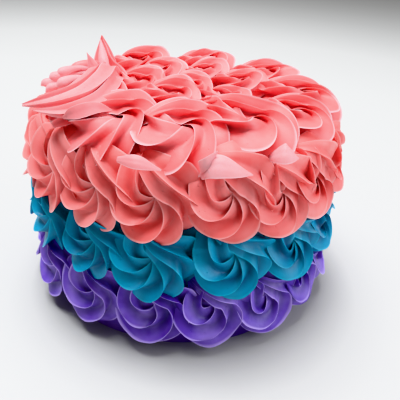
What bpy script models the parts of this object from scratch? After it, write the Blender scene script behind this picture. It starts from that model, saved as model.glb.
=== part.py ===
"""A tall round cake covered in piped buttercream rosettes, in three bands: violet at the foot, teal in the
middle, coral above and all over the top. Each band is one solid that runs through the cake.
Metres, +Z up, origin at the centre of the flat base, front of the cake towards -Y. Angles are in degrees
round the cake from the front, growing towards +X."""

import math
import random

import bmesh
import bpy
from mathutils import Vector

# The sponge with its base coat, and where one band ends and the next begins
CAKE_RADIUS = 0.102
CAKE_HEIGHT = 0.141
TEAL_FROM = 0.046
CORAL_FROM = 0.091
CAKE_SIDES = 40
GAP = 0.0003
CLEARANCE = 3 * GAP

# The rows on the wall: how high the rosettes sit, how far they stand out, half their height, the angles of
# those that the front shows, and how many go round
VIOLET_ROW = {
    "height": 0.0350,
    "depth": 0.0165,
    "tall": 0.0285,
    "seen": (-54, -32, -9, 11, 33, 53),
    "count": 16,
    "seed": 1,
}
TEAL_ROW = {
    "height": 0.0755,
    "depth": 0.0185,
    "tall": 0.0270,
    "seen": (-54, -30, -9, 18, 43, 66),
    "count": 15,
    "seed": 2,
}
CORAL_ROW = {
    "height": 0.1165,
    "depth": 0.0195,
    "tall": 0.0275,
    "seen": (-47, -28, -9, 15, 33, 51),
    "count": 17,
    "seed": 3,
}
OVERLAP = 1.12
WALL_START = 110
WALL_START_PLAY = 25

# The two rings on top: distance from the middle, angle of the first, count, radius and depth of a rosette
OUTER_RING = {"reach": 0.0740, "first": 8, "count": 9, "size": 0.0300, "depth": 0.0225, "seed": 11}
INNER_RING = {"reach": 0.0270, "first": 30, "count": 4, "size": 0.0250, "depth": 0.0200, "seed": 12}
TOP_ANGLE_PLAY = 3

# One rosette: the ridges that the star nozzle leaves, and how they turn in towards the eye
ARMS = 8
RINGS = 4
RIDGE = 0.0016
RIDGE_FADES_FROM = 0.4
TURN = math.radians(95)
EYE_DIP = 0.30
EYE_SPREAD = 0.30
SHOULDER = 3.2
TAIL_GROWTH = 0.10
HULL_SIDES = 8
BURY = 0.0035
UNEVEN = 0.04

# The tips that the nozzle pulled as it left: angle, distance from the middle and height of foot and tip
PEAKS = (
    {"foot": (-108, 0.070, 0.148), "tip": (-112, 0.068, 0.177), "radius": 0.010},
    {"foot": (-60, 0.080, 0.150), "tip": (-52, 0.123, 0.157), "radius": 0.011},
    {"foot": (9, 0.104, 0.142), "tip": (10, 0.123, 0.137), "radius": 0.011},
    {"foot": (22, 0.104, 0.142), "tip": (18, 0.122, 0.136), "radius": 0.010},
)
PEAK_SIDES = 6

CORAL = (0.93, 0.20, 0.20)
TEAL = (0.00, 0.24, 0.46)
VIOLET = (0.15, 0.07, 0.42)
BUTTERCREAM_ROUGHNESS = 0.45
SMOOTH_UP_TO = math.radians(50)


def clear_scene():
    for obj in list(bpy.data.objects):
        bpy.data.objects.remove(obj, do_unlink=True)


def buttercream(name, colour):
    material = bpy.data.materials.new(name)
    material.use_nodes = True
    shader = material.node_tree.nodes["Principled BSDF"]
    shader.inputs["Base Color"].default_value = (*colour, 1.0)
    shader.inputs["Roughness"].default_value = BUTTERCREAM_ROUGHNESS
    shader.inputs["Metallic"].default_value = 0.0
    return material


def round_cake(angle, reach, height):
    """The point at an angle round the cake, in radians, a distance from its middle and a height."""
    return Vector((reach * math.sin(angle), -reach * math.cos(angle), height))


def on_wall(angle, height):
    """Maps a rosette's own right, up and outward distances onto the round wall."""

    def place(right, up, out):
        return round_cake(angle + right / (CAKE_RADIUS + out / 2), CAKE_RADIUS + out, height + up)

    return place


def on_top(reach, angle):
    """Maps a rosette's own right, up and outward distances onto the flat top, up towards the middle."""
    middle = round_cake(angle, reach, CAKE_HEIGHT)
    to_right = Vector((math.cos(angle), math.sin(angle), 0))
    to_middle = Vector((-math.sin(angle), math.cos(angle), 0))

    def place(right, up, out):
        return middle + to_right * right + to_middle * up + Vector((0, 0, out))

    return place


def dome(share):
    """Height of the rosette at a share of its radius: full on the loop, dipped at the eye, down at the rim."""
    loop = math.sqrt(max(0.0, 1 - share**SHOULDER))
    return loop - EYE_DIP * math.exp(-((share / EYE_SPREAD) ** 2))


def join_rings(mesh, rings, first_point, last_point):
    """Walls between rings of corners that follow each other, closed by a fan to a point at both ends."""
    columns = len(rings[0])
    for column in range(columns):
        after = (column + 1) % columns
        for lower, upper in zip(rings, rings[1:]):
            mesh.faces.new((lower[column], lower[after], upper[after], upper[column]))
        mesh.faces.new((rings[0][after], rings[0][column], first_point))
        mesh.faces.new((rings[-1][column], rings[-1][after], last_point))


def ring_shares():
    """The radii of the rings from the rim in, as shares of the rosette's."""
    return [math.cos(math.pi / 2 * step / RINGS) for step in range(RINGS)]


def rosette(place, wide, tall, depth, start):
    """One piped rosette as a closed mesh. Its ridges run from the rim to the eye, turning as they go in,
    and the rope grows towards its tail, which makes the outline's one step."""
    mesh = bmesh.new()
    columns = 2 * ARMS

    def ring(share, turned):
        corners = []
        for column in range(columns):
            along = column / columns
            swell = 1 + TAIL_GROWTH * (along - 0.5)
            turn = start + math.tau * along + turned
            ridge = -RIDGE if column % 2 else RIDGE
            right = (wide * swell + ridge) * share * math.cos(turn)
            up = (tall * swell + ridge) * share * math.sin(turn)
            out = depth * dome(share) * swell + ridge * min(1, share / RIDGE_FADES_FROM)
            corners.append(mesh.verts.new(place(right, up, out if share < 1 else -BURY)))
        return corners

    rings = [ring(share, TURN * step / RINGS) for step, share in enumerate(ring_shares())]
    heel = mesh.verts.new(place(0, 0, -BURY))
    eye = mesh.verts.new(place(0, 0, depth * dome(0)))
    join_rings(mesh, rings, heel, eye)
    return mesh


def hull(place, wide, tall, depth):
    """A plain dome round a rosette and its ridges, clear of them, with which it dents the row below."""
    mesh = bmesh.new()
    swell = 1 + TAIL_GROWTH / 2
    clear = RIDGE + CLEARANCE
    round_it = 1 / math.cos(math.pi / HULL_SIDES)

    def ring(share):
        out = depth * dome(share) * swell + clear if share < 1 else -2 * BURY
        corners = []
        for side in range(HULL_SIDES):
            turn = math.tau * side / HULL_SIDES
            right = (wide * share * swell + clear) * round_it * math.cos(turn)
            up = (tall * share * swell + clear) * round_it * math.sin(turn)
            corners.append(mesh.verts.new(place(right, up, out)))
        return corners

    rings = [ring(share) for share in ring_shares()]
    heel = mesh.verts.new(place(0, 0, -2 * BURY))
    top = mesh.verts.new(place(0, 0, depth * swell + clear))
    join_rings(mesh, rings, heel, top)
    return mesh


def peak(foot, tip, radius):
    """A pulled tip of buttercream: a cone from inside the cake out to the tip."""
    mesh = bmesh.new()
    low = round_cake(math.radians(foot[0]), *foot[1:])
    high = round_cake(math.radians(tip[0]), *tip[1:])
    lean = (high - low).to_track_quat("Z", "Y").to_matrix().to_4x4()
    lean.translation = (low + high) / 2
    long = (high - low).length
    bmesh.ops.create_cone(
        mesh, cap_ends=True, segments=PEAK_SIDES, radius1=radius, radius2=0, depth=long, matrix=lean
    )
    return mesh


def disc(low, high, radius=CAKE_RADIUS):
    mesh = bmesh.new()
    bmesh.ops.create_cone(
        mesh, cap_ends=True, segments=CAKE_SIDES, radius1=radius, radius2=radius, depth=high - low
    )
    bmesh.ops.translate(mesh, verts=mesh.verts, vec=(0, 0, (low + high) / 2))
    return mesh


def as_object(name, mesh):
    bmesh.ops.triangulate(mesh, faces=mesh.faces)
    bmesh.ops.recalc_face_normals(mesh, faces=mesh.faces)
    data = bpy.data.meshes.new(name)
    mesh.to_mesh(data)
    mesh.free()
    return bpy.data.objects.new(name, data)


def row_angles(seen, count):
    """The seen rosettes where they are, and the rest spread evenly round the back."""
    back = 360 - (seen[-1] - seen[0])
    hidden = count - len(seen)
    behind = [seen[-1] + back * (n + 1) / (hidden + 1) for n in range(hidden)]
    return [math.radians(angle) for angle in (*seen, *behind)]


def row_places(row):
    """Where each rosette of a row sits, its half width, half height and depth, and where its ridges
    start. It is as wide as its neighbours leave it."""
    drawn = random.Random(row["seed"])
    angles = row_angles(row["seen"], row["count"])
    places = []
    for n, angle in enumerate(angles):
        before = (angle - angles[n - 1]) % math.tau
        after = (angles[(n + 1) % row["count"]] - angle) % math.tau
        wide = OVERLAP * (before + after) / 4 * (CAKE_RADIUS + row["depth"] / 2)
        tall = row["tall"] * (1 + drawn.uniform(-UNEVEN, UNEVEN))
        depth = row["depth"] * (1 + drawn.uniform(-UNEVEN, UNEVEN))
        start = math.radians(WALL_START + drawn.uniform(-WALL_START_PLAY, WALL_START_PLAY))
        places.append((on_wall(angle, row["height"]), wide, tall, depth, start))
    return places


def wall_row(row):
    return [rosette(*sizes) for sizes in row_places(row)]


def top_ring(ring):
    """A ring of rosettes on the top."""
    drawn = random.Random(ring["seed"])
    pieces = []
    for n in range(ring["count"]):
        play = drawn.uniform(-TOP_ANGLE_PLAY, TOP_ANGLE_PLAY)
        angle = math.radians(ring["first"] + 360 * n / ring["count"] + play)
        size = ring["size"] * (1 + drawn.uniform(-UNEVEN, UNEVEN))
        depth = ring["depth"] * (1 + drawn.uniform(-UNEVEN, UNEVEN))
        start = drawn.uniform(0, math.tau)
        pieces.append(rosette(on_top(ring["reach"], angle), size, size, depth, start))
    return pieces


def combine(body, others, operation):
    """Applies one Boolean of all the others to the body, and removes them."""
    helpers = bpy.data.collections.new("helpers")
    bpy.context.scene.collection.children.link(helpers)
    for other in others:
        helpers.objects.link(other)
    bpy.context.scene.collection.objects.link(body)
    boolean = body.modifiers.new("boolean", "BOOLEAN")
    boolean.operation = operation
    boolean.solver = "MANIFOLD"
    boolean.operand_type = "COLLECTION"
    boolean.collection = helpers
    bpy.context.view_layer.update()
    made = bpy.data.meshes.new_from_object(body.evaluated_get(bpy.context.evaluated_depsgraph_get()))
    body.modifiers.clear()
    body.data = made
    bpy.context.scene.collection.objects.unlink(body)
    for other in others:
        bpy.data.objects.remove(other, do_unlink=True)
    bpy.data.collections.remove(helpers)
    return body


def signed_volume(faces):
    return sum(
        face.verts[0].co.dot(face.verts[n].co.cross(face.verts[n + 1].co)) / 6
        for face in faces
        for n in range(1, len(face.verts) - 1)
    )


def shells_of(mesh):
    """The mesh's faces in groups that hang together."""
    left = set(mesh.faces)
    shells = []
    while left:
        shell = set()
        edge = [left.pop()]
        while edge:
            face = edge.pop()
            shell.add(face)
            beside = {other for side in face.edges for other in side.link_faces} & left
            left -= beside
            edge.extend(beside)
        shells.append(shell)
    return shells


def keep_main_shell(body):
    """Drops loose scraps, and fills hollows that the fusing sealed, by keeping the largest shell alone."""
    mesh = bmesh.new()
    mesh.from_mesh(body.data)
    for shell in sorted(shells_of(mesh), key=signed_volume)[:-1]:
        bmesh.ops.delete(mesh, geom=list(shell), context="FACES")
    mesh.to_mesh(body.data)
    mesh.free()


def band(name, low, high, pieces):
    """A slice of the cake with its rosettes fused on."""
    slice_of_cake = as_object(name, disc(low, high))
    return combine(slice_of_cake, [as_object("piece", piece) for piece in pieces], "UNION")


def row_cutter(row, low, high):
    """A row as the row below meets it, as the plain hulls of its rosettes."""
    return band("cutter", low, high, [hull(*sizes[:-1]) for sizes in row_places(row)])


def finish(body, material):
    keep_main_shell(body)
    body.data.shade_smooth()
    body.data.set_sharp_from_angle(angle=SMOOTH_UP_TO)
    body.data.materials.clear()
    body.data.materials.append(material)
    bpy.context.scene.collection.objects.link(body)


def coral_icing():
    """The top band, with its row on the wall, the rosettes on top and the pulled tips."""
    peaks = [peak(**sizes) for sizes in PEAKS]
    pieces = [*wall_row(CORAL_ROW), *top_ring(OUTER_RING), *top_ring(INNER_RING), *peaks]
    finish(band("coral_icing", CORAL_FROM, CAKE_HEIGHT, pieces), buttercream("coral_buttercream", CORAL))


def teal_icing():
    """The middle band, overhung by the coral rosettes."""
    whole = band("teal_icing", TEAL_FROM, CORAL_FROM - GAP, wall_row(TEAL_ROW))
    cutter = row_cutter(CORAL_ROW, CORAL_FROM, CAKE_HEIGHT)
    finish(combine(whole, [cutter], "DIFFERENCE"), buttercream("teal_buttercream", TEAL))


def violet_icing():
    """The bottom band, overhung by the teal rosettes and cut flat where it stands."""
    whole = band("violet_icing", 0, TEAL_FROM - GAP, wall_row(VIOLET_ROW))
    cutter = row_cutter(TEAL_ROW, TEAL_FROM, CORAL_FROM - GAP)
    under = as_object("under", disc(-CAKE_RADIUS, 0, 2 * CAKE_RADIUS))
    finish(combine(whole, [cutter, under], "DIFFERENCE"), buttercream("violet_buttercream", VIOLET))


def build():
    clear_scene()
    coral_icing()
    teal_icing()
    violet_icing()


build()
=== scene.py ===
"""The finished look of a tall rosette cake. Every rosette is a rope of buttercream, squeezed along a path of
its own through a star nozzle and laid on the round wall or the flat top of the cake."""

import math
import random
from collections import namedtuple

import bpy
import numpy as np
from bpy.props import FloatProperty, FloatVectorProperty, IntProperty, PointerProperty
from mathutils import Matrix, Vector


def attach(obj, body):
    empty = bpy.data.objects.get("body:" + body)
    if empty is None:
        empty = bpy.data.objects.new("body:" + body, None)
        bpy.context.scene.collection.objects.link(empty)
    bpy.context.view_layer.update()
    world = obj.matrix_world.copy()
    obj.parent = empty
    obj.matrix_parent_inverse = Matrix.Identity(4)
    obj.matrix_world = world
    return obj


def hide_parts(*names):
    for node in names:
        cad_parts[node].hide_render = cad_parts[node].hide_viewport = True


bl_info = {
    "name": "Rosette Cake",
    "version": (1, 0, 0),
    "blender": (4, 5, 0),
    "location": "3D View > Sidebar > Cake",
    "description": "Pipes a three-colour rosette cake over its solid bands",
    "category": "Add Mesh",
}

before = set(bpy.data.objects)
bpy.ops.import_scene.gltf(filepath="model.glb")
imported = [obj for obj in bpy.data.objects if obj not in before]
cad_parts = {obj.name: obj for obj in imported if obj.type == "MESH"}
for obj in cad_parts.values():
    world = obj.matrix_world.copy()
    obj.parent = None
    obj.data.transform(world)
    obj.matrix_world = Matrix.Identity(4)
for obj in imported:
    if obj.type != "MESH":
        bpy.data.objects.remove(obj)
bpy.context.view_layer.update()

# The cake under its base coat, in metres. The coat is thicker at the foot, takes its colour from between a
# groove and a ridge, so halfway to the painted groove shade, and closes in the middle of the top
CAKE_RADIUS = 0.102
CAKE_HEIGHT = 0.141
RIM = 0.020
TEAL_FROM = 0.046
CORAL_FROM = 0.095
BAND_GAP = 0.0003
COAT = 0.003
FOOT_HEIGHT = 0.015
COAT_UNEVENNESS = 0.004
COAT_RIDGE = 0.3
COAT_CLOSES = 0.004
LOWEST_CREAM = 0.0004

# Where the front shows a rosette's eye: degrees round the cake from the front, and height in metres
VIOLET_SEEN = ((-54, 0.036), (-32, 0.037), (-9, 0.037), (11, 0.035), (33, 0.033), (53, 0.035))
TEAL_SEEN = ((-54, 0.078), (-30, 0.078), (-9, 0.073), (18, 0.076), (43, 0.072), (66, 0.074))
CORAL_SEEN = ((-66, 0.116), (-47, 0.117), (-28, 0.116), (-9, 0.116), (15, 0.119), (33, 0.114), (51, 0.114))

# The eyes on the top: degrees round the cake, distance from its middle, where the rope comes in from, right
# and back from the eye, and size
TOP_OUTER = (
    (-66, 0.074, (-0.028, 0.012), 0.95),
    (-32.2, 0.081, (-0.031, 0.003), 1.0),
    (-2.6, 0.080, (-0.032, 0.002), 1.0),
    (30.3, 0.074, (-0.036, 0.025), 1.03),
    (61, 0.082, (-0.030, 0.012), 0.85),
    (88, 0.079, (-0.034, 0.003), 1.03),
    (128.8, 0.078, (-0.030, 0.006), 1.0),
    (171.6, 0.078, (-0.030, 0.0), 1.0),
    (214.4, 0.078, (-0.028, 0.010), 1.0),
    (257.3, 0.073, (-0.030, 0.0), 0.8),
)
TOP_INNER = (
    (-80, 0.037, (-0.020, 0.012), 1.0),
    (-20, 0.036, (-0.022, 0.008), 1.05),
    (40, 0.038, (-0.018, 0.016), 0.9),
    (100, 0.037, (-0.020, 0.004), 1.05),
    (160, 0.037, (-0.022, 0.010), 0.95),
    (220, 0.036, (-0.020, 0.012), 1.0),
    (0, 0.002, (-0.020, 0.010), 0.9),
)
TOP_SEED = 24

# On the wall every rope comes in from up on the left, and these stray as a hand does, in metres and shares
WALL_SOURCE = (-0.020, 0.021)
SOURCE_STRAYS = 0.003
HEIGHT_STRAYS = 0.0015
SIZE_STRAYS = 0.05
TONE_STRAYS = 0.25

# How a rosette leans back under the next one, sideways and upwards in degrees. On the wall, what is higher
# above the eye than this goes deeper still, at the slope given. A rope's length round the cake is measured
# so far out from the wall
WALL_LEAN = (12, 9)
TOP_LEAN = (10, 0)
TUCKED_ABOVE = 0.016
TUCKED_SLOPE = 0.45
ROPE_OUT = 0.01

# The loop of a rope: degrees on from the place that it comes in from, how far they stray, how far the loop
# is from round, and how many points draw it
LOOP_STARTS, START_STRAYS = 42, 6
LOOP_ENDS, END_STRAYS = 295, 8
LOOP_WANDERS = 0.05
LOOP_POINTS = 160

# How a rope grows, ends and rises: over how many loop radii, from what share of its full size or height, and
# with what power
SWING_OVER = 0.8
SWELL_OVER, THINNEST_START, SWELL_BEND = 1.5, 0.06, 0.7
EBB_OVER, THINNEST_END, EBB_BEND = 2.0, 0.10, 0.8
LIFT_OVER, LEAST_LIFT = 2.2, 0.10
DEEPEST_START, DEEPEST_END = -0.4, 0.7

# How high the end arches over the rope's start, and how far the second half lies on the first, in metres. It
# begins to climb halfway and is up after a quarter more
ARCH = 0.016
OVERLAP = 0.0028
OVERLAP_FROM, OVERLAP_TAKES = 0.5, 0.25

# The ridges' edges: waves along a rope, and how far their pace strays
RAGGED_WAVES = (1.5, 3.7, 8.3)
PACE_STRAYS = 0.2

# Across a groove from its ridge: the share at which the shade under the ridge ends, and over which it fades
SHADE_ENDS, SHADE_FADES = 0.4375, 0.35
ON_RIDGE = 0.999

# How many to a metre there are of the clouds, glossier patches, grains and pits in the cream, and how strong
# and deep the last two are. Cells above the last value have no pit
CLOUDS, GLOSS, GRAINS, PITS = 45.0, 220.0, 700.0, 260.0
GRAIN_STRENGTH, GRAIN_DEPTH = 0.3, 0.0004
PIT_STRENGTH, PIT_DEPTH = 0.8, 0.0005
UNPITTED = 0.62

# Where the nozzle was dragged off. Places and widths are in millimetres, the turn is in degrees, and the
# last two say how pale the strand is painted, standing in for the light on it, and how dark the painted
# shade in its grooves is
Strand = namedtuple("Strand", "places widths ridges groove turned pale dark")
MILLIMETRES = 1000


def sweep(places, widths, turned, pale):
    """One of the long ridged strands that run out to the left."""
    return Strand(places, widths, ridges=4, groove=0.5, turned=turned, pale=pale, dark=0.3)


def bead(places, widths, turned, pale=1.0):
    """A smooth strand that is thickest near its end."""
    return Strand(places, widths, ridges=2, groove=0.1, turned=turned, pale=pale, dark=0.0)


def flap(places, widths, turned=105, pale=0.9):
    """A thin leaf of cream, painted pale for the light on it, with painted shade in its groove."""
    return Strand(places, widths, ridges=2, groove=0.72, turned=turned, pale=pale, dark=0.9)


STRANDS = (
    # The peak with painted shade in its hollow, its lobe painted pale for the light on it, and the small tip
    # beside it
    Strand(
        ((-54, 4, 146), (-60, 12, 154), (-64, 22, 166), (-67.5, 31, 177)),
        (14, 13, 8.5, 0.3), ridges=3, groove=0.75, turned=-35, pale=0.0, dark=5.0,
    ),
    bead(((-59, 0, 156), (-62.3, 4, 164.2), (-65.0, 14, 169.5), (-67.6, 25, 175)), (3, 3.6, 2.4, 0.3), 0),
    Strand(
        ((-60, -8, 148), (-66, -5, 157), (-71, -1, 165), (-74, 3, 170)),
        (5, 5, 3, 0.25), ridges=2, groove=0.75, turned=75, pale=0.6, dark=0.3,
    ),
    # The long sweep to the left, and the folds below it
    sweep(
        ((-58, 6, 152), (-63, -4, 160), (-66, -30, 161), (-72, -52, 160), (-83, -66, 159), (-99, -73, 156)),
        (6, 6.5, 6, 5, 3.6, 0.4), turned=10, pale=0.5,
    ),
    sweep(
        (
            (-54, 2, 152), (-57, -10, 161), (-58, -38, 162), (-65, -61, 160), (-79, -72, 157.5),
            (-98.5, -74.5, 155.5),
        ),
        (6, 7, 6.5, 5.5, 4, 0.4), turned=50, pale=0.5,
    ),
    sweep(
        (
            (-50, -2, 150), (-52, -14, 157), (-53, -40, 158), (-59, -64, 156), (-74, -77, 154),
            (-92, -77, 154),
        ),
        (5, 6, 6, 5.5, 4, 0.5), turned=80, pale=0.4,
    ),
    Strand(
        ((-56, -40, 152), (-63, -56, 154), (-70, -68, 150), (-82, -76, 146)),
        (8, 8, 7, 4), ridges=5, groove=0.4, turned=60, pale=0.2, dark=0.2,
    ),
    Strand(
        ((-47, -66, 152), (-56, -75, 156), (-66, -81, 155), (-73, -82, 152)),
        (0.6, 4.6, 5.4, 1), ridges=4, groove=0.35, turned=20, pale=0.45, dark=0.3,
    ),
    # The beads behind the sweep
    bead(
        ((-80, -3, 153), (-91, -10, 152.5), (-100.5, -13.5, 151.5), (-104, -15, 150)),
        (2.0, 2.2, 3.3, 0.5), 0,
    ),
    bead(
        ((-76, 3, 155), (-87, -5, 155.5), (-95, -11, 155), (-98.5, -12.5, 153.5)),
        (2.0, 2.2, 3.9, 0.5), 50,
    ),
    bead(((-72, 10, 157), (-82, 0, 159), (-90, -8, 158), (-93.5, -10, 156.5)), (2.0, 2.4, 3.6, 0.5), 20),
    bead(((-60, 18, 156), (-72, 12, 159), (-82, 5, 159), (-88, 1, 156)), (3, 4, 3.6, 0.5), 20, pale=0.3),
    bead(
        ((-66, -24, 158), (-75, -31, 160.5), (-83, -37.5, 158.5), (-86.5, -40, 156.5)),
        (2.2, 2.6, 4.2, 0.5), 80,
    ),
    bead(
        ((-78, -22, 154), (-86, -27, 154.5), (-92.5, -31.5, 153.5), (-95.5, -34, 151.5)),
        (1.8, 2.0, 3.4, 0.5), 30,
    ),
    # The flaps along the front of the rim
    flap(((8, -109, 132), (15, -114, 140), (26, -115, 139), (37, -110, 134)), (3, 7, 5, 0.5)),
    flap(((9.5, -110, 133), (10.6, -113, 141), (16, -111, 148)), (2, 5, 0.5), turned=26),
    flap(((47, -97, 139), (55, -104, 145), (64, -99, 140.5)), (2, 6.5, 0.5)),
    flap(((-38, -114, 142), (-27, -119, 143), (-14, -119, 139)), (1.5, 4, 0.6), pale=0.6),
)
STRAND_TWIST = 0.5
STRAND_HOLLOW = 0.8
STRAND_UP = (0.0, 0.35, 1.0)
THINNEST_STRAND = 0.0003

# Lights: place, size in metres and tint
KEY_PLACE, KEY_SIZE, KEY_TINT = (-0.22, 0.26, 1.48), 1.1, (0.94, 0.97, 1.0)
FILL_PLACE, FILL_SIZE, FILL_TINT = (1.15, -0.3, 0.7), 1.0, (0.93, 0.95, 1.0)
DAYLIGHT_TINT = (1.0, 0.99, 0.97)


def colour(name, description, default):
    return FloatVectorProperty(
        name=name, description=description, default=default, size=3, min=0, max=1, subtype="COLOR"
    )


def length(name, description, default):
    return FloatProperty(name=name, description=description, default=default, min=0, unit="LENGTH")


def share(name, description, default):
    return FloatProperty(name=name, description=description, default=default, min=0, max=2, subtype="FACTOR")


def angle(name, description, degrees):
    return FloatProperty(name=name, description=description, default=math.radians(degrees), subtype="ANGLE")


class NozzleSettings(bpy.types.PropertyGroup):
    """The star nozzle and the rope of cream that it leaves."""

    teeth: IntProperty(name="Teeth", description="Teeth round the star opening", default=8, min=4)
    facets: IntProperty(name="Facets", description="Faces from one ridge to the next", default=7, min=3)
    steps: IntProperty(name="Steps", description="Rings of points along one rosette", default=98, min=20)
    groove: share("Groove", "Depth of the grooves as a share of the rope's radius", 0.55)
    hollow: share("Hollow", "How round the grooves are: low is a flat bottom, high a narrow one", 0.75)
    lean: share("Lean", "Where a groove is deepest: 1 is in its middle, less is nearer to one ridge", 0.6)
    unevenness: share("Unevenness", "How far a ridge strays from its line, as a share of the radius", 0.05)
    squash: share("Squash", "Height of the laid rope as a share of its width", 0.72)


class RosetteSettings(bpy.types.PropertyGroup):
    """One row or ring of rosettes."""

    rope: length("Rope radius", "Radius of the rope of cream", 0.0148)
    loop: length("Loop radius", "Radius of the loop that the nozzle drew", 0.0140)
    follow: share("Follow", "Share of the path's turning that the nozzle follows", 0.05)
    proud: length("Stand-out", "Distance of the rope's middle from the coat", 0.0072)
    torn: FloatProperty(
        name="Torn", description="How many times more uneven than the nozzle leaves it", default=1, min=0
    )


class CreamSettings(bpy.types.PropertyGroup):
    """The colours of one batch of buttercream: its body, the painted shade that darkens its grooves, and its
    pale ridges, which are partly painted highlight.
    """

    body: colour("Body", "Colour of the broad faces", (0.8, 0.2, 0.2))
    # Painted shade: the colour that the grooves darken to, standing in for the shade down in them
    painted_groove_shade: colour("Deep", "Colour down in the grooves", (0.6, 0.1, 0.1))
    # Partly the cream's own paler thin edge, partly a painted highlight along the ridges
    pale: colour("Pale", "Colour of the thin ridges", (0.9, 0.5, 0.5))


class StageSettings(bpy.types.PropertyGroup):
    """Floor, light and camera."""

    floor: colour("Floor", "Colour of the floor", (0.455, 0.45, 0.442))
    floor_size: length("Floor size", "Side of the square floor", 12.0)
    key_power: FloatProperty(name="Key", description="Power of the main light", default=66, unit="POWER")
    fill_power: FloatProperty(name="Fill", description="Power of the fill light", default=13, unit="POWER")
    daylight: share("Daylight", "Strength of the even light all round", 0.31)
    lens_mm: FloatProperty(name="Lens", description="Focal length in millimetres", default=43.2)
    eye: FloatVectorProperty(
        name="Camera place", description="Where the camera stands", default=(-0.00377, -0.34975, 0.25334),
        subtype="TRANSLATION", unit="LENGTH",
    )
    dip: angle("Dip", "How far the camera looks down", 29.68)
    yaw: angle("Yaw", "How far it looks to the right", 2.85)
    roll: angle("Roll", "How far it is tipped", 3.64)


class CakeSettings(bpy.types.PropertyGroup):
    """Everything about the cake, in one place."""

    nozzle: PointerProperty(type=NozzleSettings)
    violet: PointerProperty(type=CreamSettings)
    teal: PointerProperty(type=CreamSettings)
    coral: PointerProperty(type=CreamSettings)
    wall_coral: PointerProperty(type=CreamSettings)
    violet_row: PointerProperty(type=RosetteSettings)
    teal_row: PointerProperty(type=RosetteSettings)
    coral_row: PointerProperty(type=RosetteSettings)
    outer_ring: PointerProperty(type=RosetteSettings)
    inner_ring: PointerProperty(type=RosetteSettings)
    stage: PointerProperty(type=StageSettings)


# Shapes


class Cream:
    """Gathers ropes of cream into one mesh."""

    def __init__(self):
        self.points, self.faces, self.ridges, self.tones, self.painted_shades = [], [], [], [], []
        self.count = 0

    def add_rope(self, rings, ridge, tone, under):
        """Adds a rope: rings of points along it, closed by a fan at both ends. The ridge and the painted
        shade under it are given round the ring, and the tone for the whole rope, which on pulled strands is
        painted light."""
        steps, sides = rings.shape[:2]
        index = self.count + np.arange(steps * sides).reshape(steps, sides)
        after = np.roll(index, -1, axis=1)
        quads = np.stack((index[:-1], after[:-1], after[1:], index[1:]), axis=-1).reshape(-1, 4)
        first, last = self.count + steps * sides, self.count + steps * sides + 1
        start_fan = [(first, b, a) for a, b in zip(index[0], after[0])]
        end_fan = [(last, a, b) for a, b in zip(index[-1], after[-1])]
        self.faces += [*quads.tolist(), *start_fan, *end_fan]
        self.points += [rings.reshape(-1, 3), rings[0].mean(axis=0)[None], rings[-1].mean(axis=0)[None]]
        self.ridges += [np.tile(ridge, steps), np.zeros(2)]
        self.count += steps * sides + 2
        self.tones.append(np.full(steps * sides + 2, tone))
        self.painted_shades += [np.tile(under, steps), np.zeros(2)]

    def crease(self, mesh):
        """Makes the ridges crisp."""
        on_ridge = np.concatenate(self.ridges) > ON_RIDGE
        ends = np.zeros(len(mesh.edges) * 2, dtype=np.int32)
        mesh.edges.foreach_get("vertices", ends)
        sharp = mesh.attributes.new("sharp_edge", "BOOLEAN", "EDGE")
        sharp.data.foreach_set("value", on_ridge[ends].reshape(-1, 2).all(axis=1))

    def piece(self, name, material):
        mesh = bpy.data.meshes.new(name)
        mesh.from_pydata(np.concatenate(self.points).tolist(), [], self.faces)
        for label, values in (("ridge", self.ridges), ("tone", self.tones), ("under", self.painted_shades)):
            attribute = mesh.attributes.new(label, "FLOAT", "POINT")
            attribute.data.foreach_set("value", np.concatenate(values).astype(np.float32))
        mesh.shade_smooth()
        self.crease(mesh)
        mesh.materials.append(material)
        piece = bpy.data.objects.new(name, mesh)
        bpy.context.scene.collection.objects.link(piece)
        return piece


def star(nozzle):
    """Directions round the star opening, closest together at the teeth, how far out each one is, how near to
    a ridge (1 on it, 0 in the groove), and how much painted shade lies under the steep side of a ridge."""
    along = 0.5 - 0.5 * np.cos(np.pi * np.arange(nozzle.facets) / nozzle.facets)
    direction = (np.arange(nozzle.teeth)[:, None] + along) * math.tau / nozzle.teeth
    reach = 1 - nozzle.groove * np.abs(np.sin(np.pi * along**nozzle.lean)) ** nozzle.hollow
    ridge = (reach - reach.min()) / (1 - reach.min())
    # Painted shade: darkest just past the crest on the steep side of each ridge, fading out across the
    # groove
    under = np.clip((SHADE_ENDS - along) / SHADE_FADES, 0, 1) * (along > 0)
    return direction.ravel(), *(np.tile(values, nozzle.teeth) for values in (reach, ridge, under))


def ragged(nozzle, steps, drawn):
    """Slow waves along each ridge, different for every tooth, that make its edge a little uneven."""
    gone = np.linspace(0, math.tau, steps)
    waves = np.zeros((steps, nozzle.teeth))
    for tooth in range(nozzle.teeth):
        for turns in RAGGED_WAVES:
            pace = turns * drawn.uniform(1 - PACE_STRAYS, 1 + PACE_STRAYS)
            waves[:, tooth] += np.sin(gone * pace + drawn.uniform(0, math.tau)) / turns
    return np.repeat(waves, nozzle.facets, axis=1)


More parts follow.
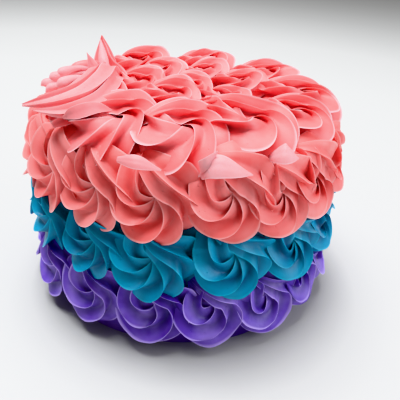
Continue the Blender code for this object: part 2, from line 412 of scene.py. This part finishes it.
def squeeze(nozzle, path, radius, lift, size, drawn):
    """Rings of points of a rope of cream along a path of right, up and out distances. The nozzle hardly
    turns with the path, so each ridge is the path again, moved to one side. The side that leads goes under
    and the side that trails comes out on top, by as much as the lift says."""
    direction, reach, ridge, _ = star(nozzle)
    direction = direction + drawn.uniform(0, math.tau)
    ahead = np.gradient(path[:, :2], axis=0)
    heading = np.unwrap(np.arctan2(ahead[:, 1], ahead[:, 0]))[:, None]
    direction = direction[None, :] + size.follow * (heading - heading[0])
    unevenness = 1 + nozzle.unevenness * size.torn * ragged(nozzle, len(path), drawn) * ridge
    far = radius[:, None] * reach[None, :] * unevenness
    right = path[:, 0:1] + far * np.cos(direction)
    up = path[:, 1:2] + far * np.sin(direction)
    out = path[:, 2:3] - nozzle.squash * lift[:, None] * far * np.cos(direction - heading)
    return np.stack((right, up, out), axis=-1)


def even_steps(points, steps):
    """The same line with its points spread evenly along it."""
    gone = np.concatenate(([0], np.cumsum(np.linalg.norm(np.diff(points, axis=0), axis=1))))
    wanted = np.linspace(0, gone[-1], steps)
    return np.stack([np.interp(wanted, gone, points[:, axis]) for axis in range(points.shape[1])], axis=-1)


def bend(start, middle, end, steps=40):
    """A quadratic curve from start to end, pulled towards the middle point."""
    along = np.linspace(0, 1, steps)[:, None]
    return (1 - along) ** 2 * start + 2 * along * (1 - along) * middle + along**2 * end


def rising(least, part):
    """Grows from the least value to one as the part grows from zero to one."""
    return least + (1 - least) * part


def loop_path(loop, source, drawn):
    """The line of a rosette, right and up from its eye: in from the source, counter-clockwise round the eye
    as seen from outside, and back to the source."""
    facing = math.atan2(source[1], source[0])
    first = facing + math.radians(LOOP_STARTS + drawn.uniform(-START_STRAYS, START_STRAYS))
    last = facing + math.radians(LOOP_ENDS + drawn.uniform(-END_STRAYS, END_STRAYS))
    turn = np.linspace(first, last, LOOP_POINTS)
    wander = loop * (1 + LOOP_WANDERS * np.sin(turn + drawn.uniform(0, math.tau)))
    ring = np.stack((wander * np.cos(turn), wander * np.sin(turn)), axis=-1)
    ahead = np.stack((-np.sin(turn), np.cos(turn)), axis=-1)
    swing = loop * SWING_OVER
    lead = bend(source, ring[0] - ahead[0] * swing, ring[0])
    tail = bend(ring[-1], ring[-1] + ahead[-1] * swing, source)
    return np.concatenate((lead[:-1], ring, tail[1:]))


def rosette(nozzle, size, scale, source, drawn):
    """A loop round the eye that begins and ends in one pinched place, given as right and up distances. The
    rope comes out thin there, swells on its way down, goes round the eye, and is drawn back over its own
    start."""
    rope, loop = size.rope * scale, size.loop * scale
    line = loop_path(loop, np.array(source) * scale, drawn)
    whole = np.linalg.norm(np.diff(line, axis=0), axis=1).sum()
    gone = np.linspace(0, whole, nozzle.steps)
    swell = np.clip(gone / (loop * SWELL_OVER), 0, 1)
    ebb = np.clip((whole - gone) / (loop * EBB_OVER), 0, 1)
    over = np.clip((gone / whole - OVERLAP_FROM) / OVERLAP_TAKES, 0, 1)
    radius = rope * rising(THINNEST_START, swell**SWELL_BEND) * rising(THINNEST_END, ebb**EBB_BEND)
    climb = size.proud * scale * rising(DEEPEST_START, swell) * rising(DEEPEST_END, ebb)
    climb = climb + ARCH * (1 - ebb) * ebb + OVERLAP * over * over * (3 - 2 * over) * ebb
    lift = rising(LEAST_LIFT, np.clip(gone / (loop * LIFT_OVER), 0, 1))
    path = np.column_stack((even_steps(line, nozzle.steps), climb))
    return squeeze(nozzle, path, radius, lift, size, drawn)


def down_the_side(gone, out):
    """Distance from the cake's axis and height of a place that is so far down the line from the middle of
    the top, over the rounded rim and down the wall, and so far out from the coat."""
    flat = CAKE_RADIUS - RIM
    turn = np.clip((gone - flat) / RIM, 0, math.pi / 2)
    below = np.maximum(gone - flat - RIM * math.pi / 2, 0)
    reach = np.minimum(gone, flat) + RIM * np.sin(turn) + out * np.sin(turn)
    height = CAKE_HEIGHT - RIM + RIM * np.cos(turn) - below + out * np.cos(turn)
    return reach, height


def leaning(rings, sideways, upwards):
    """The right, up and out distances, with the right and the upper part sunk in, so that the next rosette
    and the row above lie over them."""
    right, up, out = np.moveaxis(rings, -1, 0)
    under_the_next = np.maximum(right, 0) * math.tan(math.radians(sideways))
    under_the_row_above = up * math.tan(math.radians(upwards))
    return right, up, out - under_the_next - under_the_row_above


def round_the_cake(turn, reach, height):
    """Places at an angle round the cake from its front, a distance from its axis and a height."""
    return np.stack((reach * np.sin(turn), -reach * np.cos(turn), height), axis=-1)


def on_wall(rings, turn, height):
    """Lays right, up and out distances on the round wall and over its rim."""
    right, up, out = leaning(rings, *WALL_LEAN)
    out = out - np.maximum(up - TUCKED_ABOVE, 0) * TUCKED_SLOPE
    start = CAKE_RADIUS - RIM + RIM * math.pi / 2 + CAKE_HEIGHT - RIM - height
    reach, level = down_the_side(start - up, out)
    places = round_the_cake(turn + right / (CAKE_RADIUS + ROPE_OUT), reach, level)
    places[..., 2] = np.maximum(places[..., 2], LOWEST_CREAM)
    return places


def on_top(rings, turn, start):
    """Lays right, up and out distances on the top, with up towards the middle, and over the rim."""
    right, up, out = leaning(rings, *TOP_LEAN)
    reach, level = down_the_side(np.hypot(right, start - up), out)
    return round_the_cake(turn + np.arctan2(right, start - up), reach, level)


def pulled(strand, steps=44, facets=6):
    """A strand of cream dragged through the air: its ridges run along it and close in at both ends."""
    places, widths = np.array(strand.places) / MILLIMETRES, np.array(strand.widths) / MILLIMETRES
    knots = np.linspace(0, 1, len(places))
    along = np.linspace(0, 1, steps)
    line = np.stack([smooth_through(knots, places[:, axis], along) for axis in range(3)], axis=-1)
    radius = np.maximum(smooth_through(knots, widths, along), THINNEST_STRAND)
    sides = np.arange(strand.ridges * facets)
    direction = sides * math.tau / len(sides) + math.radians(strand.turned)
    shape = 1 - strand.groove * np.abs(np.sin(sides * math.pi / facets)) ** STRAND_HOLLOW
    ahead = np.gradient(line, axis=0)
    ahead /= np.linalg.norm(ahead, axis=1)[:, None]
    side = np.cross(ahead, STRAND_UP)
    side /= np.linalg.norm(side, axis=1)[:, None]
    up = np.cross(side, ahead)
    twisted = direction[None, :] + along[:, None] * STRAND_TWIST
    rings = line[:, None] + radius[:, None, None] * shape[None, :, None] * (
        np.cos(twisted)[..., None] * side[:, None] + np.sin(twisted)[..., None] * up[:, None]
    )
    return rings, (shape - shape.min()) / (1 - shape.min())


def smooth_through(knots, values, along):
    """A smooth line through the values at the knots, read at the places along it."""
    slopes = np.gradient(values, knots)
    span = np.clip(np.searchsorted(knots, along, side="right") - 1, 0, len(knots) - 2)
    width = knots[span + 1] - knots[span]
    part = (along - knots[span]) / width
    rise = 3 * part**2 - 2 * part**3
    leave = (part**3 - 2 * part**2 + part) * width * slopes[span]
    arrive = (part**3 - part**2) * width * slopes[span + 1]
    return (1 - rise) * values[span] + leave + rise * values[span + 1] + arrive


def row_places(seen, count, drawn):
    """The rosettes that the front shows, and the rest spread evenly round the back."""
    first, last = seen[0][0], seen[-1][0]
    hidden = count - len(seen)
    gap = (360 - (last - first)) / (hidden + 1)
    height = sum(place[1] for place in seen) / len(seen)
    behind = [
        (last + gap * (n + 1), height + drawn.uniform(-HEIGHT_STRAYS, HEIGHT_STRAYS)) for n in range(hidden)
    ]
    return [(math.radians(degrees), up) for degrees, up in (*seen, *behind)]


def wall_row(name, size, seen, count, seed, material):
    """One row of rosettes round the wall, as one piece."""
    drawn = random.Random(seed)
    nozzle = cake().nozzle
    # The last value is the painted shade under each ridge
    _, _, ridge, under = star(nozzle)
    cream = Cream()
    for turn, height in row_places(seen, count, drawn):
        source = [away + drawn.uniform(-SOURCE_STRAYS, SOURCE_STRAYS) for away in WALL_SOURCE]
        scale = 1 + drawn.uniform(-SIZE_STRAYS, SIZE_STRAYS)
        rope = rosette(nozzle, size, scale, source, drawn)
        cream.add_rope(on_wall(rope, turn, height), ridge, TONE_STRAYS * drawn.random(), under)
    return cream.piece(name, material)


# Materials


def node(tree, kind, place, **values):
    made = tree.nodes.new(kind)
    made.location = place
    for name, value in values.items():
        setattr(made, name, value)
    return made


def attribute_node(tree, name, place):
    return node(tree, "ShaderNodeAttribute", place, attribute_name=name)


def mix_colours(tree, factor, first, second, place):
    """Mixes two colours, each a plain colour or the output of another node."""
    mix = node(tree, "ShaderNodeMix", place, data_type="RGBA")
    tree.links.new(factor, mix.inputs[0])
    for value, socket in ((first, mix.inputs[6]), (second, mix.inputs[7])):
        if isinstance(value, bpy.types.NodeSocket):
            tree.links.new(value, socket)
        else:
            socket.default_value = (*value, 1.0)
    return mix.outputs[2]


def spread(tree, value, low, high, place, to=(0.0, 1.0)):
    """Spreads the values between low and high over the range that is asked for."""
    made = node(tree, "ShaderNodeMapRange", place)
    made.inputs["From Min"].default_value = low
    made.inputs["From Max"].default_value = high
    made.inputs["To Min"].default_value = to[0]
    made.inputs["To Max"].default_value = to[1]
    tree.links.new(value, made.inputs["Value"])
    return made.outputs["Result"]


def fixed_to_the_cream(tree, texture, place):
    """Gives a texture the places on the piece itself."""
    where = node(tree, "ShaderNodeTexCoord", (place[0] - 200, place[1]))
    tree.links.new(where.outputs["Object"], texture.inputs["Vector"])


def noise(tree, scale, detail, place):
    made = node(tree, "ShaderNodeTexNoise", place)
    made.inputs["Scale"].default_value = scale
    made.inputs["Detail"].default_value = detail
    fixed_to_the_cream(tree, made, place)
    return made.outputs["Fac"]


def bump(tree, height, strength, distance, place):
    made = node(tree, "ShaderNodeBump", place)
    made.inputs["Strength"].default_value = strength
    made.inputs["Distance"].default_value = distance
    tree.links.new(height, made.inputs["Height"])
    return made


def air_bubbles(tree, place):
    """One everywhere, and less in the few small round pits that burst bubbles leave."""
    made = node(tree, "ShaderNodeTexVoronoi", place)
    made.inputs["Scale"].default_value = PITS
    fixed_to_the_cream(tree, made, place)
    rim = spread(tree, made.outputs["Distance"], 0.05, 0.12, (place[0] + 200, place[1]))
    rare = node(tree, "ShaderNodeMath", (place[0] + 200, place[1] - 200), operation="GREATER_THAN")
    tree.links.new(made.outputs["Color"], rare.inputs[0])
    rare.inputs[1].default_value = UNPITTED
    kept = node(tree, "ShaderNodeMath", (place[0] + 400, place[1]), operation="MAXIMUM")
    tree.links.new(rim, kept.inputs[0])
    tree.links.new(rare.outputs[0], kept.inputs[1])
    return kept.outputs[0]


def buttercream(name, cream, mottle, crest_paleness_and_highlight=1.0, shadow=0.55):
    """Satin whipped buttercream: thin pale ridges that are partly painted highlight, grooves darkened with
    painted shade, cloudy colour, fine grain and pits. The last three say how cloudy it is, how pale its
    ridges are, and how dark the painted shade is just under them."""
    if name in bpy.data.materials:
        return bpy.data.materials[name]
    material = bpy.data.materials.new(name)
    material.use_nodes = True
    tree = material.node_tree
    shader = tree.nodes["Principled BSDF"]
    ridge = attribute_node(tree, "ridge", (-1400, 300)).outputs["Fac"]
    steep = attribute_node(tree, "under", (-1400, 900)).outputs["Fac"]
    tone = attribute_node(tree, "tone", (-1400, 600)).outputs["Fac"]
    # Pale ridge lines: partly the cream's own paler thin edge, partly a painted highlight
    pale_crest_and_highlight = spread(tree, ridge, 0.86, 0.98, (-1200, 300), (0.0, crest_paleness_and_highlight))
    # Painted shade, strongest at the bottom of each groove
    groove = spread(tree, ridge, 0.0, 0.6, (-1200, 100), (1.0, 0.0))
    # Painted shade just under the steep side of each ridge, and in the grooves of the pulled strands
    shade = spread(tree, steep, 0.0, 1.0, (-1200, 900), (0.0, shadow))
    # Tone of each rope: a random tone on the rosettes, and painted light on the pulled strands
    light = spread(tree, tone, 0.0, 1.0, (-1200, 600), (0.0, 0.6))
    cloud = spread(tree, noise(tree, CLOUDS, 3.0, (-1400, -200)), 0.35, 0.65, (-1200, -200), (0.0, mottle))
    # The colour of the painted shade under the ridges
    deepest = [0.7 * part for part in cream.painted_groove_shade]
    mixed = mix_colours(tree, groove, cream.body, cream.painted_groove_shade, (-1000, 200))
    mixed = mix_colours(tree, shade, mixed, deepest, (-850, 300))
    for factor, place in ((cloud, (-700, 100)), (light, (-600, 400)), (pale_crest_and_highlight, (-500, 200))):
        mixed = mix_colours(tree, factor, mixed, cream.pale, place)
    tree.links.new(mixed, shader.inputs["Base Color"])
    satin = spread(tree, noise(tree, GLOSS, 2.0, (-1400, -500)), 0.3, 0.7, (-900, -400), (0.36, 0.5))
    tree.links.new(satin, shader.inputs["Roughness"])
    pits = bump(tree, air_bubbles(tree, (-1000, -800)), PIT_STRENGTH, PIT_DEPTH, (-500, -500))
    grains = noise(tree, GRAINS, 4.0, (-700, -600))
    grain = bump(tree, grains, GRAIN_STRENGTH, GRAIN_DEPTH, (-300, -300))
    tree.links.new(pits.outputs["Normal"], grain.inputs["Normal"])
    tree.links.new(grain.outputs["Normal"], shader.inputs["Normal"])
    shader.inputs["Subsurface Weight"].default_value = 0.10
    shader.inputs["Subsurface Radius"].default_value = (1.0, 0.5, 0.4)
    shader.inputs["Subsurface Scale"].default_value = 0.004
    shader.inputs["IOR"].default_value = 1.46
    shader.inputs["Specular IOR Level"].default_value = 0.36
    shader.inputs["Coat Weight"].default_value = 0.08
    shader.inputs["Coat Roughness"].default_value = 0.3
    return material


def violet_buttercream():
    return buttercream("piped_violet", cake().violet, mottle=0.36)


def teal_buttercream():
    return buttercream("piped_teal", cake().teal, mottle=0.25, crest_paleness_and_highlight=0.7, shadow=0.7)


def coral_wall_buttercream():
    return buttercream("piped_wall_coral", cake().wall_coral, mottle=0.2, crest_paleness_and_highlight=0.5, shadow=0.8)


def coral_buttercream():
    return buttercream("piped_coral", cake().coral, mottle=0.2)


def plain_floor(settings):
    material = bpy.data.materials.new("pale_floor")
    material.use_nodes = True
    shader = material.node_tree.nodes["Principled BSDF"]
    shader.inputs["Base Color"].default_value = (*settings.floor, 1.0)
    shader.inputs["Roughness"].default_value = 0.6
    return material


# Operators


def seat(piece, *nodes, slot):
    """Lets a piece ride with the cake in place of its solid bands."""
    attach(piece, "root")
    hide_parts(*nodes)


def cake():
    return bpy.context.scene.rosette_cake


def coat(name, low, high, material, sides=128, rows=6, rim_rows=24):
    """A slice of the coated cake, closed above and below. The top slice has a rounded rim."""
    turn = np.linspace(0, math.tau, sides, endpoint=False)
    uneven = 1 - COAT_UNEVENNESS * (1 + np.sin(5 * turn) * np.cos(9 * turn))
    walls = np.linspace(low, min(high, CAKE_HEIGHT - RIM), rows)
    profile = [(CAKE_RADIUS + COAT + COAT * max(0.0, 1 - up / FOOT_HEIGHT), up) for up in walls]
    if high == CAKE_HEIGHT:
        whole = CAKE_RADIUS - RIM + RIM * math.pi / 2
        profile += [down_the_side(gone, COAT) for gone in np.linspace(whole, COAT_CLOSES, rim_rows)]
    rings = [round_the_cake(turn, reach * uneven, 0 * turn + up) for reach, up in profile]
    cream = Cream()
    # Halfway between a ridge and a groove, so the coat takes half of the painted groove shade
    cream.add_rope(np.stack(rings), np.full(sides, COAT_RIDGE), 0.0, np.zeros(sides))
    return cream.piece(name, material)


class CAKE_OT_coats(bpy.types.Operator):
    """Spread the base coat of each band, which shows between the rosettes"""

    bl_idname = "cake.coats"
    bl_label = "Base Coats"

    def execute(self, context):
        low = (0.0, TEAL_FROM, CORAL_FROM)
        high = (TEAL_FROM - BAND_GAP, CORAL_FROM - BAND_GAP, CAKE_HEIGHT)
        creams = (violet_buttercream(), teal_buttercream(), coral_buttercream())
        for name, bottom, top, material in zip(("violet", "teal", "coral"), low, high, creams):
            piece = coat(f"{name}_coat", bottom, top, material)
            seat(piece, f"{name}_icing", slot=f"{name}_buttercream")
        return {"FINISHED"}


class CAKE_OT_violet_row(bpy.types.Operator):
    """Pipe the bottom row of rosettes"""

    bl_idname = "cake.violet_row"
    bl_label = "Violet Row"

    def execute(self, context):
        piece = wall_row(
            "violet_rosettes", cake().violet_row, VIOLET_SEEN, count=16, seed=21,
            material=violet_buttercream(),
        )
        seat(piece, "violet_icing", slot="violet_buttercream")
        return {"FINISHED"}


class CAKE_OT_teal_row(bpy.types.Operator):
    """Pipe the middle row of rosettes"""

    bl_idname = "cake.teal_row"
    bl_label = "Teal Row"

    def execute(self, context):
        piece = wall_row(
            "teal_rosettes", cake().teal_row, TEAL_SEEN, count=15, seed=22,
            material=teal_buttercream(),
        )
        seat(piece, "teal_icing", slot="teal_buttercream")
        return {"FINISHED"}


class CAKE_OT_coral_row(bpy.types.Operator):
    """Pipe the top row of rosettes on the wall"""

    bl_idname = "cake.coral_row"
    bl_label = "Coral Row"

    def execute(self, context):
        piece = wall_row(
            "coral_wall_rosettes", cake().coral_row, CORAL_SEEN, count=17, seed=31,
            material=coral_wall_buttercream(),
        )
        seat(piece, "coral_icing", slot="coral_buttercream")
        return {"FINISHED"}


class CAKE_OT_top_rosettes(bpy.types.Operator):
    """Pipe the two rings of rosettes on the top"""

    bl_idname = "cake.top_rosettes"
    bl_label = "Top Rosettes"

    def execute(self, context):
        drawn = random.Random(TOP_SEED)
        nozzle = cake().nozzle
        # The last value is the painted shade under each ridge
        _, _, ridge, under = star(nozzle)
        cream = Cream()
        for places, size in ((TOP_OUTER, cake().outer_ring), (TOP_INNER, cake().inner_ring)):
            for degrees, far, pull, scale in places:
                turn = math.radians(degrees)
                source = Matrix.Rotation(-turn, 2) @ Vector(pull)
                rope = rosette(nozzle, size, scale, source, drawn)
                cream.add_rope(on_top(rope, turn, far), ridge, TONE_STRAYS * drawn.random(), under)
        piece = cream.piece("coral_top_rosettes", coral_buttercream())
        seat(piece, "coral_icing", slot="coral_buttercream")
        return {"FINISHED"}


class CAKE_OT_pulled_tips(bpy.types.Operator):
    """Drag up the tips and strands where the nozzle came away"""

    bl_idname = "cake.pulled_tips"
    bl_label = "Pulled Tips"

    def execute(self, context):
        cream = Cream()
        for strand in STRANDS:
            rings, ridge = pulled(strand)
            # The strand's paleness is painted light, and the darkness in its grooves is painted shade
            cream.add_rope(rings, ridge, strand.pale, strand.dark * (1 - ridge))
        piece = cream.piece("coral_pulled_tips", coral_buttercream())
        seat(piece, "coral_icing", slot="coral_buttercream")
        return {"FINISHED"}


class CAKE_OT_stage(bpy.types.Operator):
    """Set the floor, the light and the camera"""

    bl_idname = "cake.stage"
    bl_label = "Stage"

    def execute(self, context):
        settings = cake().stage
        half = settings.floor_size / 2
        corners = [(-half, -half, 0), (half, -half, 0), (half, half, 0), (-half, half, 0)]
        mesh = bpy.data.meshes.new("floor")
        mesh.from_pydata(corners, [], [(0, 1, 2, 3)])
        mesh.materials.append(plain_floor(settings))
        floor = bpy.data.objects.new("floor", mesh)
        context.scene.collection.objects.link(floor)
        self.light(context, "key_light", KEY_PLACE, KEY_SIZE, settings.key_power, KEY_TINT)
        self.light(context, "fill_light", FILL_PLACE, FILL_SIZE, settings.fill_power, FILL_TINT)
        world = bpy.data.worlds.new("even_light")
        world.use_nodes = True
        sky = world.node_tree.nodes["Background"]
        sky.inputs["Color"].default_value = (*DAYLIGHT_TINT, 1)
        sky.inputs["Strength"].default_value = settings.daylight
        context.scene.world = world
        context.scene.view_settings.view_transform = "Khronos PBR Neutral"
        self.camera(context, settings)
        return {"FINISHED"}

    def light(self, context, name, place, size, power, tint):
        data = bpy.data.lights.new(name, "AREA")
        data.energy = power
        data.color = tint
        data.size = size
        lamp = bpy.data.objects.new(name, data)
        lamp.location = place
        middle_of_cake = Vector((0, 0, 0.1))
        lamp.rotation_euler = (middle_of_cake - Vector(place)).to_track_quat("-Z", "Y").to_euler()
        context.scene.collection.objects.link(lamp)

    def camera(self, context, settings):
        data = bpy.data.cameras.new("camera")
        data.lens = settings.lens_mm
        data.sensor_width = 36
        camera = bpy.data.objects.new("camera", data)
        context.scene.collection.objects.link(camera)
        dip, yaw = settings.dip, settings.yaw
        ahead = Vector((math.sin(yaw) * math.cos(dip), math.cos(yaw) * math.cos(dip), -math.sin(dip)))
        right = Vector((math.cos(yaw), -math.sin(yaw), 0))
        up = right.cross(ahead)
        turned = Matrix((right, up, -ahead)).transposed() @ Matrix.Rotation(settings.roll, 3, "Z")
        camera.matrix_world = Matrix.Translation(settings.eye) @ turned.to_4x4()
        context.scene.camera = camera


class CAKE_PT_panel(bpy.types.Panel):
    """The steps of making the cake"""

    bl_idname = "CAKE_PT_panel"
    bl_label = "Rosette Cake"
    bl_space_type = "VIEW_3D"
    bl_region_type = "UI"
    bl_category = "Cake"

    def draw(self, context):
        for step in STEPS:
            self.layout.operator(step.bl_idname)


STEPS = (
    CAKE_OT_coats,
    CAKE_OT_violet_row,
    CAKE_OT_teal_row,
    CAKE_OT_coral_row,
    CAKE_OT_top_rosettes,
    CAKE_OT_pulled_tips,
    CAKE_OT_stage,
)
SETTINGS = (NozzleSettings, RosetteSettings, CreamSettings, StageSettings, CakeSettings)
CLASSES = (*SETTINGS, *STEPS, CAKE_PT_panel)


def register():
    for cls in CLASSES:
        bpy.utils.register_class(cls)
    bpy.types.Scene.rosette_cake = PointerProperty(type=CakeSettings)


def unregister():
    del bpy.types.Scene.rosette_cake
    for cls in reversed(CLASSES):
        bpy.utils.unregister_class(cls)


def mix_creams():
    """The batches of cream: body, painted groove shade, and pale ridge colour that is partly painted
    highlight, in linear colour.
    """
    batches = (
        (cake().violet, (0.088, 0.026, 0.44), (0.013, 0.002, 0.17), (0.50, 0.36, 0.90)),
        (cake().teal, (0.0, 0.24, 0.455), (0.0, 0.04, 0.16), (0.02, 0.48, 0.70)),
        (cake().coral, (0.95, 0.147, 0.15), (0.73, 0.048, 0.05), (1.0, 0.63, 0.68)),
        (cake().wall_coral, (1.0, 0.175, 0.168), (0.80, 0.06, 0.055), (1.0, 0.63, 0.64)),
    )
    for cream, body, painted_groove_shade, pale in batches:
        cream.body, cream.painted_groove_shade, cream.pale = body, painted_groove_shade, pale


def fit_rows():
    """What sets a row or ring of rosettes apart from the usual one."""
    cake().violet_row.follow = 0.45
    cake().violet_row.torn = 2.0
    cake().coral_row.follow = 0.10
    inner = cake().inner_ring
    inner.rope, inner.loop, inner.proud = 0.0112, 0.0104, 0.0105
    inner.follow, inner.torn = 0.2, 3.0


def main():
    register()
    mix_creams()
    fit_rows()
    for step in STEPS:
        group, name = step.bl_idname.split(".")
        getattr(getattr(bpy.ops, group), name)()


if __name__ == "__main__":
    main()
